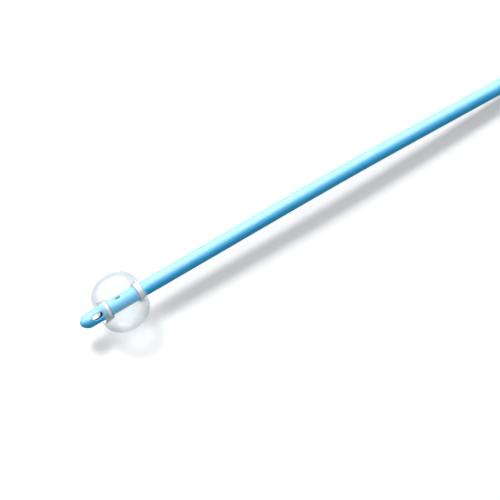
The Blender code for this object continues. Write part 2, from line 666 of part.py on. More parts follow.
def make_valve_spring(mouth, material):
    """Compression spring, with its end turns closed up."""
    count = round(SPRING_TURNS * SPRING_STEPS_PER_TURN)
    share = np.arange(count + 1) / count
    turn = share * SPRING_TURNS * math.tau
    closed = 1.0 / SPRING_TURNS
    open_share = np.clip((share - closed) / (1.0 - 2 * closed), 0.0, 1.0)
    wire = 2 * SPRING_WIRE_RADIUS
    seat = SPRING_WIRE_RADIUS
    end_rise = wire * (np.clip(share / closed, 0, 1) + np.clip((share - 1) / closed + 1, 0, 1)) * 1.2
    free = SPRING_LENGTH - 2 * seat - end_rise[-1]
    along = SPRING_BOTTOM + seat + end_rise + free * open_share
    way = np.column_stack([along, SPRING_RADIUS * np.cos(turn), SPRING_RADIUS * np.sin(turn)])
    rings = []
    for point, direction in zip(way, tangents_of(way)):
        outward = np.array((0.0, point[1], point[2])) / SPRING_RADIUS
        side = np.cross(direction, outward)
        side /= np.linalg.norm(side)
        upright = np.cross(side, direction)
        rings.append(circle(point, upright, side, SPRING_WIRE_RADIUS, SPRING_WIRE_SIDES))
    return add_object("valve_spring", lofted(rings), material, mouth)


def make_valve_retainer(mouth, material):
    """Ring pressed into the chamber, which the spring stands on."""
    low = RETAINER_TOP - RETAINER_LENGTH
    outer = CHAMBER_RADIUS - BOND_GAP
    profile = [
        (low, RETAINER_HOLE_RADIUS), (low, outer),
        (RETAINER_TOP, outer), (RETAINER_TOP, RETAINER_HOLE_RADIUS),
    ]
    return add_object("valve_retainer", turned(profile, SMALL_SIDES, closed=True), material, mouth)


def centre_on_footprint(frame):
    """Shift the catheter so that it stands on the origin with its box centred there."""
    bpy.context.view_layer.update()
    depsgraph = bpy.context.evaluated_depsgraph_get()
    clouds = []
    for item in bpy.context.scene.objects:
        if item.type == "MESH" and not item.hide_render:
            mesh = item.evaluated_get(depsgraph).to_mesh()
            clouds.append(np.array([item.matrix_world @ vertex.co for vertex in mesh.vertices]))
    points = np.vstack(clouds)
    low, high = points.min(axis=0), points.max(axis=0)
    frame.location = (-(low[0] + high[0]) / 2, -(low[1] + high[1]) / 2, -low[2])


def build():
    for item in list(bpy.data.objects):
        bpy.data.objects.remove(item, do_unlink=True)
    catheter = add_empty("catheter", None, Matrix.Identity(4))
    blue_silicone = principled("blue_silicone", (0.06, 0.42, 0.66), 0.22, 0.2)
    clear_silicone = principled("clear_silicone", (0.86, 0.93, 0.96), 0.1, 0.9)
    yoke_silicone = principled("yoke_silicone", (0.30, 0.62, 0.78), 0.3, 0.2)
    plug_silicone = principled("plug_silicone", (0.75, 0.85, 0.88), 0.35, 0.1)
    red_plastic = principled("red_plastic", (0.62, 0.03, 0.03), 0.3)
    white_plastic = principled("white_plastic", (0.82, 0.82, 0.80), 0.35)
    grey_rubber = principled("grey_rubber", (0.10, 0.10, 0.11), 0.6)
    spring_steel = principled("spring_steel", (0.62, 0.62, 0.64), 0.25, 0.0, 1.0)
    make_tip(catheter, blue_silicone)
    make_shaft(catheter, blue_silicone)
    make_lumen_plug(catheter, plug_silicone)
    make_balloon(catheter, clear_silicone)
    make_y_funnel(catheter, yoke_silicone)
    valve = arm_frame(yoke_frame(catheter, "valve_yoke"), "valve")
    make_valve_housing(valve, red_plastic)
    make_valve_plunger(valve, white_plastic)
    make_valve_seal(valve, grey_rubber)
    make_valve_spring(valve, spring_steel)
    make_valve_retainer(valve, white_plastic)
    centre_on_footprint(catheter)


build()
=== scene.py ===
# %% [markdown]
# # A silicone urinary catheter, laid on a white table
# The catheter is a long soft tube. At its front it has a rounded tip with two eyes and a small
# balloon that holds it in place. At its back it has a moulded yoke with a wide drainage funnel
# and a thin arm, and the arm carries a red valve for filling the balloon.
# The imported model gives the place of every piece. This script dresses it with smooth surfaces and
# finishes, and leaves what moves on the bodies that carry it.

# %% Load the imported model
import bpy
import bmesh
import math
import numpy as np
from mathutils import Matrix, Vector


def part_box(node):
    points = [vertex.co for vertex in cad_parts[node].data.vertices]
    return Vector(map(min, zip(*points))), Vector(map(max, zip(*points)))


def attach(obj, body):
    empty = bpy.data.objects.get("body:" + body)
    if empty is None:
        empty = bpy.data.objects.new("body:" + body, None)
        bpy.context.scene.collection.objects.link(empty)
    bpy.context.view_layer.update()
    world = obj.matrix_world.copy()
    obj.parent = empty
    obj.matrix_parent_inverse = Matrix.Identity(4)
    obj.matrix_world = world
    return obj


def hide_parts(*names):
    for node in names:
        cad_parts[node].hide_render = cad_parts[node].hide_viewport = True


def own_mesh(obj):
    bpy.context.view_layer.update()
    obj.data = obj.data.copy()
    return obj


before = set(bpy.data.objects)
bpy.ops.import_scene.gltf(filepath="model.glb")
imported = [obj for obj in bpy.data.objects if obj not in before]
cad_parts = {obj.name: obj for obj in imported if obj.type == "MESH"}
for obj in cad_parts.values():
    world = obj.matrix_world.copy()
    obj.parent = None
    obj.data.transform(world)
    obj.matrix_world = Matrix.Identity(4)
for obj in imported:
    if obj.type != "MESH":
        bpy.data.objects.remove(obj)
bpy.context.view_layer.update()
MM = 0.001
BODY = "catheter_body"

# %% [markdown]
# ## The camera
# The picture looks down on the front end from the left, at about 65 degrees, through a long lens.
# The lens could be wide and near, or long and far. A long one keeps the tube's two edges parallel,
# as they are in the picture. The tip sits a sixth of the way in from the left.

# %% Camera
NOSE = np.array(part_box("tip")[0])
TUBE_Y = -7.889 * MM
AXIS_HEIGHT = 12.0 * MM
CAMERA_AZIMUTH = math.radians(-32.65)
CAMERA_ELEVATION = math.radians(65.5)
CAMERA_DISTANCE = 1.352
LENS_MM = 250.0
SENSOR_MM = 36.0
PICTURE_SIZE = 500.0
NOSE_PIXEL = (80.7, 325.3)


def place_camera():
    """A camera on a line from the aim point, up and back by the two angles. The aim point is the tip's
    nose moved across the view by the pixels between the nose and the picture's middle."""
    a, e = CAMERA_AZIMUTH, CAMERA_ELEVATION
    right = Vector((math.cos(a), math.sin(a), 0.0))
    back = Vector((math.sin(a) * math.cos(e), -math.cos(a) * math.cos(e), math.sin(e)))
    up = back.cross(right)
    pixel = CAMERA_DISTANCE * SENSOR_MM / LENS_MM / PICTURE_SIZE
    nose = Vector((NOSE[0], TUBE_Y, AXIS_HEIGHT))
    across = (PICTURE_SIZE / 2 - NOSE_PIXEL[0]) * pixel
    down = (NOSE_PIXEL[1] - PICTURE_SIZE / 2) * pixel
    aim = nose + across * right + down * up
    data = bpy.data.cameras.new("camera")
    data.lens, data.sensor_width = LENS_MM, SENSOR_MM
    data.clip_start, data.clip_end = 0.1, 20.0
    camera = bpy.data.objects.new("camera", data)
    bpy.context.collection.objects.link(camera)
    camera.location = aim + back * CAMERA_DISTANCE
    camera.rotation_mode = "QUATERNION"
    camera.rotation_quaternion = Matrix((right, up, back)).transposed().to_quaternion()
    bpy.context.scene.camera = camera
    return camera


camera = place_camera()
print("camera at", tuple(round(v, 3) for v in camera.location))

# %% [markdown]
# ## Helpers for worked-out surfaces
# Each piece is a few sheets of points, worked out as whole arrays. A sheet has rows and columns,
# and neighbours in it make four-sided faces. Where two sheets share an edge, their points are at
# the same place, so they are welded into one closed skin, and then all faces are turned outwards.

# %% Sheets of points to a closed mesh
WELD = 1e-7


def sheet_faces(rows, columns, round_rows=False, round_columns=False):
    """Four-sided faces between neighbours of a grid. A round direction also joins last to first."""
    i = np.arange(rows if round_rows else rows - 1)[:, None]
    j = np.arange(columns if round_columns else columns - 1)[None, :]
    below, beside = (i + 1) % rows, (j + 1) % columns
    corners = (i * columns + j, i * columns + beside, below * columns + beside, below * columns + j)
    return np.stack(np.broadcast_arrays(*corners), axis=-1).reshape(-1, 4)


def welded(sheets):
    """One list of points and faces from several (points, faces) sheets. Points that round to the
    same place become one, and a face that loses a corner becomes a triangle."""
    starts = np.cumsum([0] + [len(points) for points, _ in sheets])
    points = np.vstack([points for points, _ in sheets])
    faces = np.vstack([faces + start for (_, faces), start in zip(sheets, starts)])
    keys = np.round(points / WELD).astype(np.int64)
    _, first, place = np.unique(keys, axis=0, return_index=True, return_inverse=True)
    points, faces = points[first], place.reshape(-1)[faces]
    same = faces == np.roll(faces, -1, axis=1)
    full = faces[~same.any(axis=1)]
    short, lost = faces[same.sum(axis=1) == 1], same[same.sum(axis=1) == 1]
    triangles = short[~lost].reshape(-1, 3)
    return points, full.tolist() + triangles.tolist()


def grid(points, round_rows=False, round_columns=False):
    """A sheet from an array of rows, columns and three coordinates."""
    rows, columns = points.shape[:2]
    return points.reshape(-1, 3), sheet_faces(rows, columns, round_rows, round_columns)


def make_piece(name, sheets, material, body=BODY, matrix=None, sharp=40.0, painted_shade_and_dull=None):
    """Weld the sheets, place them, turn the faces outwards and hang the piece on its body. The last
    argument is a function that says how far in each point lies, from 0 on the skin to 1 in a hollow.
    It is stored on the points as the mask for painted shade and a dull skin."""
    points, faces = welded(sheets)
    if matrix is not None:
        turn = np.array(matrix)
        points = points @ turn[:3, :3].T + turn[:3, 3]
    mesh = bpy.data.meshes.new(name)
    mesh.from_pydata(points.tolist(), [], faces)
    bm = bmesh.new()
    bm.from_mesh(mesh)
    bmesh.ops.recalc_face_normals(bm, faces=bm.faces)
    open_edges = sum(len(edge.link_faces) != 2 for edge in bm.edges)
    bm.to_mesh(mesh)
    bm.free()
    if painted_shade_and_dull is not None:
        mesh.attributes.new("painted_shade_and_dull", "FLOAT", "POINT").data.foreach_set("value", painted_shade_and_dull(points))
    mesh.materials.append(material)
    mesh.shade_smooth()
    mesh.set_sharp_from_angle(angle=math.radians(sharp))
    piece = bpy.data.objects.new(name, mesh)
    bpy.context.collection.objects.link(piece)
    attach(piece, body)
    print(name, len(points), "points", open_edges, "open edges")
    return piece


def softened(profile, radius, steps=4):
    """Round each inner corner of a line of (x, radius) points: a curve that leaves one side at a
    short way before the corner, bends towards it and meets the next side as far behind it."""
    profile = np.asarray(profile, float)
    before, corner, after = profile[:-2], profile[1:-1], profile[2:]
    radius = np.broadcast_to(radius, len(corner))

    def towards(other):
        side = other - corner
        length = np.linalg.norm(side, axis=1)
        return corner + side * (np.minimum(radius, 0.45 * length) / length)[:, None]

    start, end = towards(before), towards(after)
    t = np.linspace(0.0, 1.0, steps + 1)[None, :, None]
    curve = (1 - t) ** 2 * start[:, None] + 2 * t * (1 - t) * corner[:, None] + t**2 * end[:, None]
    return np.vstack([profile[:1], curve.reshape(-1, 2), profile[-1:]])


def turned(profile, sides, ring=False):
    """Carry (x, radius) points round the X axis: y = radius cos(angle), z = radius sin(angle).
    A ring is a closed section, and joins its last row to its first."""
    profile = np.asarray(profile, float)
    angle = np.linspace(0.0, math.tau, sides, endpoint=False)
    x = np.repeat(profile[:, :1], sides, axis=1)
    y = profile[:, 1:] * np.cos(angle)
    z = profile[:, 1:] * np.sin(angle)
    return grid(np.stack([x, y, z], axis=-1), round_rows=ring, round_columns=True)


def smooth_step(value, low, high):
    """From 0 at low to 1 at high, level at both ends: 3 t squared minus 2 t cubed."""
    t = np.clip((value - low) / (high - low), 0.0, 1.0)
    return t * t * (3 - 2 * t)


# %% [markdown]
# ## Clouding and grain, shared by all finishes
# Cast silicone and moulded plastic are never one flat colour. They have soft clouds of slightly
# different tone, a fine grain that breaks up the gloss, and faint lines along the way that they
# were drawn. A picture could be wrapped round them, but noise that is worked out in space needs no
# seams and fits every piece. Two node groups make these effects, so each material sets its own.

# %% Node groups
FLOAT, COLOUR = "NodeSocketFloat", "NodeSocketColor"
CLOUD_EDGES, CLOUD_DETAIL = (0.35, 0.65), 3.0   # noise from which one tone turns into the other
GRAIN_DETAIL = 2.0


def new_group(name, inputs, outputs):
    """A shader node group with named sockets: (name, kind, default)."""
    group = bpy.data.node_groups.new(name, "ShaderNodeTree")
    for socket, kind, default in inputs:
        made = group.interface.new_socket(name=socket, in_out="INPUT", socket_type=kind)
        made.default_value = default
    for socket, kind in outputs:
        group.interface.new_socket(name=socket, in_out="OUTPUT", socket_type=kind)
    return group, group.nodes.new("NodeGroupInput"), group.nodes.new("NodeGroupOutput")


def worked_out(tree, operation, *values):
    """The result of a math node that takes the values in their order."""
    node = tree.nodes.new("ShaderNodeMath")
    node.operation = operation
    for socket, value in zip(node.inputs, values):
        tree.links.new(value, socket)
    return node.outputs["Value"]


def clouding_group():
    """Two tones mixed by soft noise, and a roughness that follows the same noise."""
    group, given, out = new_group(
        "clouding",
        [("Tone", COLOUR, (0.5, 0.5, 0.5, 1)), ("Cloud Tone", COLOUR, (0.6, 0.6, 0.6, 1)),
         ("Cloud Size", FLOAT, 150.0), ("Roughness", FLOAT, 0.3), ("Swing", FLOAT, 0.05)],
        [("Colour", COLOUR), ("Roughness", FLOAT)],
    )
    place = group.nodes.new("ShaderNodeTexCoord")
    noise = group.nodes.new("ShaderNodeTexNoise")
    noise.inputs["Detail"].default_value = CLOUD_DETAIL
    group.links.new(place.outputs["Object"], noise.inputs["Vector"])
    group.links.new(given.outputs["Cloud Size"], noise.inputs["Scale"])
    mask = group.nodes.new("ShaderNodeMapRange")
    mask.interpolation_type = "SMOOTHSTEP"
    mask.inputs["From Min"].default_value, mask.inputs["From Max"].default_value = CLOUD_EDGES
    group.links.new(noise.outputs["Fac"], mask.inputs["Value"])
    mix = group.nodes.new("ShaderNodeMix")
    mix.data_type = "RGBA"
    group.links.new(mask.outputs["Result"], mix.inputs["Factor"])
    group.links.new(given.outputs["Tone"], mix.inputs["A"])
    group.links.new(given.outputs["Cloud Tone"], mix.inputs["B"])
    group.links.new(mix.outputs["Result"], out.inputs["Colour"])
    roughness = worked_out(group, "MULTIPLY_ADD", mask.outputs["Result"], given.outputs["Swing"],
                           given.outputs["Roughness"])
    group.links.new(roughness, out.inputs["Roughness"])
    return group


def grain_group():
    """Height of a fine grain: one noise that can be stretched along X, for drawn lines."""
    group, given, out = new_group(
        "grain",
        [("Grain Size", FLOAT, 3000.0), ("Along", FLOAT, 1.0), ("Depth", FLOAT, 1.0)],
        [("Height", FLOAT)],
    )
    place = group.nodes.new("ShaderNodeTexCoord")
    split = group.nodes.new("ShaderNodeSeparateXYZ")
    group.links.new(place.outputs["Object"], split.inputs["Vector"])
    stretched = worked_out(group, "MULTIPLY", split.outputs["X"], given.outputs["Along"])
    joined = group.nodes.new("ShaderNodeCombineXYZ")
    group.links.new(stretched, joined.inputs["X"])
    group.links.new(split.outputs["Y"], joined.inputs["Y"])
    group.links.new(split.outputs["Z"], joined.inputs["Z"])
    noise = group.nodes.new("ShaderNodeTexNoise")
    noise.inputs["Detail"].default_value = GRAIN_DETAIL
    group.links.new(joined.outputs["Vector"], noise.inputs["Vector"])
    group.links.new(given.outputs["Grain Size"], noise.inputs["Scale"])
    height = worked_out(group, "MULTIPLY", noise.outputs["Fac"], given.outputs["Depth"])
    group.links.new(height, out.inputs["Height"])
    return group


CLOUDING, GRAIN = clouding_group(), grain_group()
print("node groups", CLOUDING.name, GRAIN.name)

# %% [markdown]
# ## How a finish is made
# Silicone is rubber that is tinted right through, under a skin with a broad, soft gloss. One flat
# colour with a narrow highlight would look like painted metal. So every finish is one shader: its
# colour and roughness come from the clouding, its skin has the grain, and what is the same all over
# a piece is a plain number.

# %% Finish helper
GRAIN_DISTANCE = 0.0001
DEFAULT_GRAIN = (3000.0, 1.0, 0.05)   # size, stretch along X and depth


def finish(name, tone, cloud_tone, cloud_size, roughness, swing, grain=DEFAULT_GRAIN, **plain):
    """A material of one Principled shader, clouded and grained by the two groups. What is the same
    all over is set on the shader's own sockets."""
    material = bpy.data.materials.new(name)
    material.use_nodes = True
    nodes, links = material.node_tree.nodes, material.node_tree.links
    shader = nodes["Principled BSDF"]
    clouding = nodes.new("ShaderNodeGroup")
    clouding.node_tree = CLOUDING
    clouding.inputs["Tone"].default_value = (*tone, 1)
    clouding.inputs["Cloud Tone"].default_value = (*cloud_tone, 1)
    clouding.inputs["Cloud Size"].default_value = cloud_size
    clouding.inputs["Roughness"].default_value = roughness
    clouding.inputs["Swing"].default_value = swing
    links.new(clouding.outputs["Colour"], shader.inputs["Base Color"])
    links.new(clouding.outputs["Roughness"], shader.inputs["Roughness"])
    fine = nodes.new("ShaderNodeGroup")
    fine.node_tree = GRAIN
    for socket, value in zip(("Grain Size", "Along", "Depth"), grain):
        fine.inputs[socket].default_value = value
    bump = nodes.new("ShaderNodeBump")
    bump.inputs["Distance"].default_value = GRAIN_DISTANCE
    bump.inputs["Strength"].default_value = 1.0
    links.new(fine.outputs["Height"], bump.inputs["Height"])
    links.new(bump.outputs["Normal"], shader.inputs["Normal"])
    for socket, value in plain.items():
        shader.inputs[socket.replace("_", " ")].default_value = value
    return material


# %% [markdown]
# ## The finishes
# The tube and the tip are deep blue with lines along the way that the tube was drawn. A white gloss
# would turn their lit side cyan, so it has a touch of rose. The balloon's film is clear with a soft
# gloss, because a sharp one would hide the tube behind it. The bonds are milky glue. The yoke is
# paler and lets light in under its skin. The valve is hard red plastic round a white plunger, a
# grey seal and a steel spring.

# %% Finishes
blue_silicone = finish(
    "blue_silicone", (0.0, 0.48, 0.88), (0.01, 0.50, 0.91), 180.0, 0.54, 0.05, (2500.0, 0.1, 0.06),
    IOR=1.36, Specular_Tint=(1.0, 0.66, 0.76, 1.0),
)
yoke_silicone = finish(
    "yoke_silicone", (0.22, 0.55, 0.74), (0.27, 0.60, 0.78), 120.0, 0.42, 0.08, (1800.0, 1.0, 0.10),
    Subsurface_Weight=0.4, Subsurface_Radius=(0.8, 1.2, 1.5), Subsurface_Scale=0.002, IOR=1.41,
    Specular_IOR_Level=0.25,
)
clear_silicone = finish(
    "clear_silicone", (0.72, 0.84, 0.89), (0.78, 0.88, 0.92), 140.0, 0.22, 0.03, (900.0, 1.0, 0.02),
    Transmission_Weight=0.14, IOR=1.45, Specular_IOR_Level=0.09,
)
milky_silicone = finish(
    "milky_silicone", (0.94, 0.98, 1.0), (0.96, 0.99, 1.0), 300.0, 0.30, 0.08, (2500.0, 1.0, 0.06),
    Transmission_Weight=0.2, IOR=1.4, Alpha=0.8,
)
plug_silicone = finish(
    "plug_silicone", (0.70, 0.82, 0.86), (0.76, 0.87, 0.90), 400.0, 0.35, 0.05)
red_plastic = finish(
    "red_plastic", (0.58, 0.020, 0.018), (0.63, 0.030, 0.025), 260.0, 0.28, 0.12,
    (4000.0, 1.0, 0.10), IOR=1.42, Specular_IOR_Level=0.2,
)
white_plastic = finish(
    "white_plastic", (0.78, 0.78, 0.75), (0.84, 0.84, 0.82), 300.0, 0.33, 0.08, (4000.0, 1.0, 0.08))
grey_rubber = finish(
    "grey_rubber", (0.045, 0.045, 0.05), (0.07, 0.07, 0.075), 500.0, 0.55, 0.15)
spring_steel = finish(
    "spring_steel", (0.55, 0.55, 0.57), (0.63, 0.63, 0.64), 700.0, 0.22, 0.12,
    (6000.0, 1.0, 0.05), Metallic=1.0,
)
print("finishes", len(bpy.data.materials))

# %% [markdown]
# ## The balloon's thin film
# The wall of a blown balloon is clear and very thin. Face on, one looks through it. At a slant one
# looks through more of it, and it turns milky, so its rim shows. Thick glass would do that too, but
# it bends the tube's outline and loses its shadow. So the film is see-through by how far its skin
# turns away, and only a little of it is glass.

# %% Film
FILM_BLEND = 0.12
FILM_FACE, FILM_RIM = 0.12, 0.48   # how solid each skin of the film is face on, and at a slant
nodes, links = clear_silicone.node_tree.nodes, clear_silicone.node_tree.links
slant = nodes.new("ShaderNodeLayerWeight")
slant.inputs["Blend"].default_value = FILM_BLEND
film = nodes.new("ShaderNodeMapRange")
film.inputs["To Min"].default_value, film.inputs["To Max"].default_value = FILM_FACE, FILM_RIM
links.new(slant.outputs["Facing"], film.inputs["Value"])
links.new(film.outputs["Result"], nodes["Principled BSDF"].inputs["Alpha"])
print("film from", FILM_FACE, "to", FILM_RIM)

# %% [markdown]
# ## Painted shade in the hollows of the blue silicone
# Inside the port, the eyes and the bore, light bounces from blue wall to blue wall and gets deeper
# at each bounce, and the cut walls are dull. That shade is painted into their colour as a darker
# tone. They could be pieces of their own, but they are one skin with the tube. So each point of the
# tube holds its depth, and the depth mixes in the painted shade and the dull skin.

# %% Hollows with painted shade
# Painted shade: a near-black blue mixed into the colour where points lie deep in a hollow, with a fully
# rough skin.
PAINTED_SHADE_TONE, DEEP_ROUGHNESS = (0.0, 0.02, 0.04, 1.0), 1.0
nodes, links = blue_silicone.node_tree.nodes, blue_silicone.node_tree.links
painted_shade_mask = nodes.new("ShaderNodeAttribute")
painted_shade_mask.attribute_name = "painted_shade_and_dull"
for name, kind, painted_shade_and_dull_value in (
    ("Base Color", "RGBA", PAINTED_SHADE_TONE), ("Roughness", "FLOAT", DEEP_ROUGHNESS),
):
    socket = nodes["Principled BSDF"].inputs[name]
    mix = nodes.new("ShaderNodeMix")
    mix.data_type = kind
    mix.inputs["B"].default_value = painted_shade_and_dull_value
    links.new(socket.links[0].from_socket, mix.inputs["A"])
    links.new(painted_shade_mask.outputs["Fac"], mix.inputs["Factor"])
    links.new(mix.outputs["Result"], socket)
print("materials", len(bpy.data.materials))

# %% [markdown]
# ## The tube's way
# The shaft is one length of soft tube, 6 mm thick. It leaves the tip at the balloon's height, sinks
# gently to the table and rises again into the yoke. Straight runs and arcs would look like bent
# wire, so the way is one smooth curve through the route's own points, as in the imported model.

# %% The tube's way
TUBE_RADIUS = 3.0 * MM
BORE_RADIUS = 1.6 * MM
PORT_ANGLE = math.radians(63.0)
ROUTE = (
    (12.4, 12.0), (55.2, 12.0), (98.0, 12.0),
    (117.0, 11.733), (136.0, 11.11), (155.0, 10.0865), (174.0, 8.885), (193.0, 7.55),
    (212.0, 6.215), (231.0, 5.0135), (250.0, 4.0345), (269.0, 3.367), (288.0, 3.1),
    (298.4, 3.61), (308.8, 4.885), (319.2, 6.415), (329.6, 7.69),
    (340.0, 8.2), (350.85, 8.2), (361.7, 8.2),
)   # millimetres behind the nose, and height of the axis above the table
WAY_PIECES = 40


def smooth_way(points, pieces):
    """A smooth cubic curve through the points: each piece blends the two neighbours' directions."""
    ends = np.vstack([2 * points[0] - points[1], points, 2 * points[-1] - points[-2]])
    t = (np.arange(pieces) / pieces)[None, :, None]
    p, q, r, s = (ends[k:len(ends) - 3 + k, None] for k in range(4))
    curve = 0.5 * (2 * q + (r - p) * t + (2 * p - 5 * q + 4 * r - s) * t**2
                   + (3 * q - p - 3 * r + s) * t**3)
    return np.vstack([curve.reshape(-1, points.shape[1]), points[-1:]])


route = np.array([(x * MM + NOSE[0], TUBE_Y, z * MM) for x, z in ROUTE])
dense_way = smooth_way(route, WAY_PIECES)

# %% [markdown]
# ## The tube's skin
# The tube has a wide drainage lumen and a thin filling lumen, which opens in a cut port inside the
# balloon. It could be a curve with a round bevel, but then the port would need a Boolean and have
# ragged lips. So the skin is one sheet round the way, the port is a dip in it, and its rows and
# columns are close together there.

# %% The tube's skin
PORT_CENTRE = NOSE[0] + 17.7 * MM
PORT_LENGTH, PORT_WIDTH, PORT_DEPTH = 2.3 * MM, 1.3 * MM, 1.3 * MM
PORT_SQUARENESS = 2.6
PORT_RIM, PORT_SLOPE = 1.18, 0.36   # where the dip starts and how wide its side is, in half ports
FINE_REACH, FINE_TURN = 1.7 * MM, math.radians(22.0)   # half of the stretch with close points
BORE_OFFSET = 0.5 * MM
# Painted shade in the hollows starts below this share of the tube's radius and is full this far further
# in.
PAINTED_SHADE_START, PAINTED_SHADE_REACH = 0.97, 0.6 * MM   # share of the radius, and how far in is fully deep
SOLID_NOSE = 3.4 * MM


def make_shaft():
    """Outer skin: axis point + radius (across cos + up sin). The port is a dip in the radius: its
    depth times a steep step of a long oval. The skin turns in at each end and comes back as the
    drainage bore, so the tube is a closed ring section."""
    stations = np.concatenate([
        np.linspace(dense_way[0, 0], PORT_CENTRE - FINE_REACH, 6, endpoint=False),
        np.linspace(PORT_CENTRE - FINE_REACH, PORT_CENTRE + FINE_REACH, 44),
        np.linspace(PORT_CENTRE + FINE_REACH, dense_way[-1, 0], 150)[1:],
    ])
    centre = np.column_stack([np.interp(stations, dense_way[:, 0], dense_way[:, k]) for k in range(3)])
    ahead = np.gradient(centre, axis=0)
    ahead /= np.linalg.norm(ahead, axis=1)[:, None]
    across = np.array((0.0, 1.0, 0.0))
    up = np.cross(ahead, across)
    angle = np.concatenate([
        np.linspace(PORT_ANGLE - FINE_TURN, PORT_ANGLE + FINE_TURN, 34, endpoint=False),
        np.linspace(PORT_ANGLE + FINE_TURN, PORT_ANGLE - FINE_TURN + math.tau, 50, endpoint=False),
    ])
    far = ((stations - PORT_CENTRE) / (PORT_LENGTH / 2))[:, None]
    side = (TUBE_RADIUS * (angle - PORT_ANGLE) / (PORT_WIDTH / 2))[None, :]
    n = PORT_SQUARENESS
    oval = (np.abs(far) ** n + np.abs(side) ** n) ** (1 / n)
    dip = PORT_DEPTH * smooth_step(PORT_RIM - oval, 0.0, PORT_SLOPE)

    def skin(radius, shift):
        y = radius * np.cos(angle) - shift * math.cos(PORT_ANGLE)
        z = radius * np.sin(angle) - shift * math.sin(PORT_ANGLE)
        return centre[:, None] + y[..., None] * across + z[..., None] * up[:, None]

    outer = skin(TUBE_RADIUS - dip, 0.0)
    inner = skin(np.full(dip.shape, BORE_RADIUS), BORE_OFFSET)
    return grid(np.concatenate([outer, inner[::-1]]), round_rows=True, round_columns=True), centre


def painted_shade_depth(points):
    """From 0 near the outer skin to 1 well below it, as the mask for the painted shade and the dull
    skin of the hollows. The solid nose has no hollows.
    """
    height = np.interp(points[:, 0], dense_way[:, 0], dense_way[:, 2])
    radius = np.hypot(points[:, 1] - TUBE_Y, points[:, 2] - height)
    behind_nose = points[:, 0] > NOSE[0] + SOLID_NOSE
    return np.clip((PAINTED_SHADE_START * TUBE_RADIUS - radius) / PAINTED_SHADE_REACH, 0.0, 1.0) * behind_nose


shaft_sheet, shaft_line = make_shaft()
shaft = make_piece(
    "shaft_tube", [shaft_sheet], blue_silicone, painted_shade_and_dull=painted_shade_depth)
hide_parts("shaft")

# %% [markdown]
# ## The tip
# The tip is moulded on to the tube: a blunt nose, and two long round-ended eyes on opposite sides
# through which the bladder drains. Cutting holes with a Boolean would leave sharp, uneven lips.
# Here the wall itself is the sheet: its rows run from the border of one half of the tip in to the
# eye's lip, round the lip, through the wall and back out along the bore.

# %% Tip
TIP_LENGTH = 12.1 * MM
NOSE_LENGTH = 3.2 * MM
NOSE_FULLNESS = 1.2
EYE_CENTRE = 7.2 * MM
EYE_HALF_LENGTH, EYE_HALF_WIDTH = 2.3 * MM, 1.15 * MM
EYE_ROUNDNESS = 2.5
EYE_LIP = 0.42 * MM
EYE_ANGLE = math.radians(119.0)
BORE_FRONT, BLIND_DEPTH = 4.3 * MM, 0.8 * MM
BORDER_COUNT = np.array([18, 16, 18, 16])   # points on the rear, one side, the front and the other
LIP_CROWDING = 1.6                          # how much the rows crowd towards the lip


